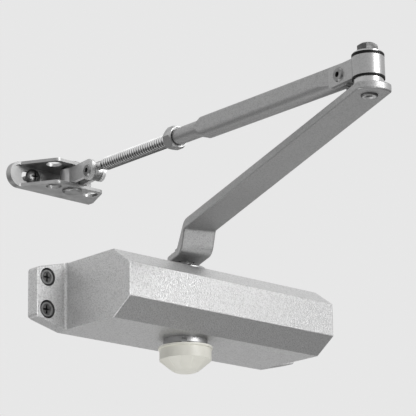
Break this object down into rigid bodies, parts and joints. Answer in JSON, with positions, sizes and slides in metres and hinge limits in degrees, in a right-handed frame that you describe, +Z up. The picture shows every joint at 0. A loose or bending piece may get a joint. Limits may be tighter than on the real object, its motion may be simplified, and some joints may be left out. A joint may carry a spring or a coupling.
{
  "type": "hydraulic door closer",
  "caption": "Surface-mounted rack-and-pinion door closer with a bevelled body, cranked main arm, tubular adjustable forearm and a channel shoe on a pin.",
  "frame": {"origin": "centre of the four-screw pattern, on the plane where the body rests on the door", "axes": "+X along the body, +Y into the door, +Z up along the spindle"},
  "size_m": [0.2365, 0.3091, 0.1171],
  "materials": {
    "body_paint": "sparkling silver paint with a fine sandy grain over a die casting",
    "arm_paint": "smooth silver-grey paint over steel",
    "shoe_steel": "plated pressing with bright rims",
    "zinc_steel": "bright zinc plate",
    "dark_steel": "dark phosphated steel",
    "ground_steel": "ground and hardened",
    "spring_steel": "oil-tempered wire",
    "bronze": "sintered bronze",
    "seal_rubber": "matte nitrile",
    "black_nylon": "moulded",
    "ivory_plastic": "moulded with crisp facets",
    "valve_brass": "turned"
  },
  "bodies": {
    "housing": {"body_casting": "body_paint", "end_plug": "zinc_steel", "end_plug_seal": "seal_rubber", "upper_gland": "zinc_steel", "lower_gland": "zinc_steel", "upper_bush": "bronze", "lower_bush": "bronze", "upper_seal": "seal_rubber", "lower_seal": "seal_rubber", "main_spring": "spring_steel", "door_screws": "dark_steel"},
    "piston": {"piston": "ground_steel", "check_valve_ball": "ground_steel", "check_valve_retainer": "valve_brass"},
    "closing_valve": {"closing_speed_valve": "valve_brass", "closing_valve_seal": "seal_rubber"},
    "latching_valve": {"latching_speed_valve": "valve_brass", "latching_valve_seal": "seal_rubber"},
    "spindle": {"pinion_shaft": "ground_steel", "spindle_cap": "ivory_plastic", "main_arm": "arm_paint", "arm_washer": "zinc_steel", "arm_screw": "dark_steel", "elbow_collar": "zinc_steel", "elbow_bolt": "dark_steel", "elbow_washer": "zinc_steel"},
    "elbow": {"elbow_socket": "arm_paint", "elbow_bush": "bronze", "elbow_lower_washer": "black_nylon", "elbow_upper_washer": "black_nylon", "fork_rivet": "zinc_steel"},
    "forearm": {"forearm_tube": "arm_paint", "lock_nut": "zinc_steel"},
    "rod": {"adjusting_rod": "zinc_steel"},
    "knuckle": {"shoe_knuckle": "shoe_steel", "rod_rivet": "zinc_steel"},
    "shoe": {"shoe_bracket": "shoe_steel", "shoe_pin": "zinc_steel", "shoe_screws": "dark_steel"}
  },
  "joints": [
    {"name": "spindle_turn", "type": "hinge", "parent": "housing", "child": "spindle", "pos_m": [-0.011, -0.032, 0], "axis": [0, 0, 1], "range_deg": [-150, 25], "stiffness_Nm_per_rad": 6},
    {"name": "piston_slide", "type": "slide", "parent": "housing", "child": "piston", "axis": [1, 0, 0], "range_m": [-0.0036, 0.021], "deforming": ["main_spring"]},
    {"name": "closing_valve_turn", "type": "hinge", "parent": "housing", "child": "closing_valve", "pos_m": [0.0815, -0.055, 0.0055], "axis": [1, 0, 0], "range_deg": [-180, 180]},
    {"name": "latching_valve_turn", "type": "hinge", "parent": "housing", "child": "latching_valve", "pos_m": [0.0815, -0.055, -0.0055], "axis": [1, 0, 0], "range_deg": [-180, 180]},
    {"name": "elbow_turn", "type": "hinge", "parent": "spindle", "child": "elbow", "pos_m": [-0.12285, -0.28924, 0], "axis": [0, 0, 1], "range_deg": [-15, 150]},
    {"name": "forearm_tilt", "type": "hinge", "parent": "elbow", "child": "forearm", "pos_m": [-0.12074, -0.27438, 0.052], "axis": [0.9901, -0.1404, 0], "range_deg": [-2, 10]},
    {"name": "rod_adjust", "type": "slide", "parent": "forearm", "child": "rod", "axis": [0.1401, 0.9883, 0.061], "range_m": [-0.015, 0.022]},
    {"name": "rod_tilt", "type": "hinge", "parent": "rod", "child": "knuckle", "pos_m": [-0.08767, -0.04114, 0.06621], "axis": [0.9901, -0.1404, 0], "range_deg": [-3, 8]},
    {"name": "shoe_turn", "type": "hinge", "parent": "knuckle", "child": "shoe", "pos_m": [-0.08416, -0.01639, 0.06821], "axis": [0, 0, 1], "range_deg": [-60, 60]}
  ],
  "couplings": [
    {"joint": "piston_slide", "follows": "spindle_turn", "m_per_rad": -0.008}
  ]
}
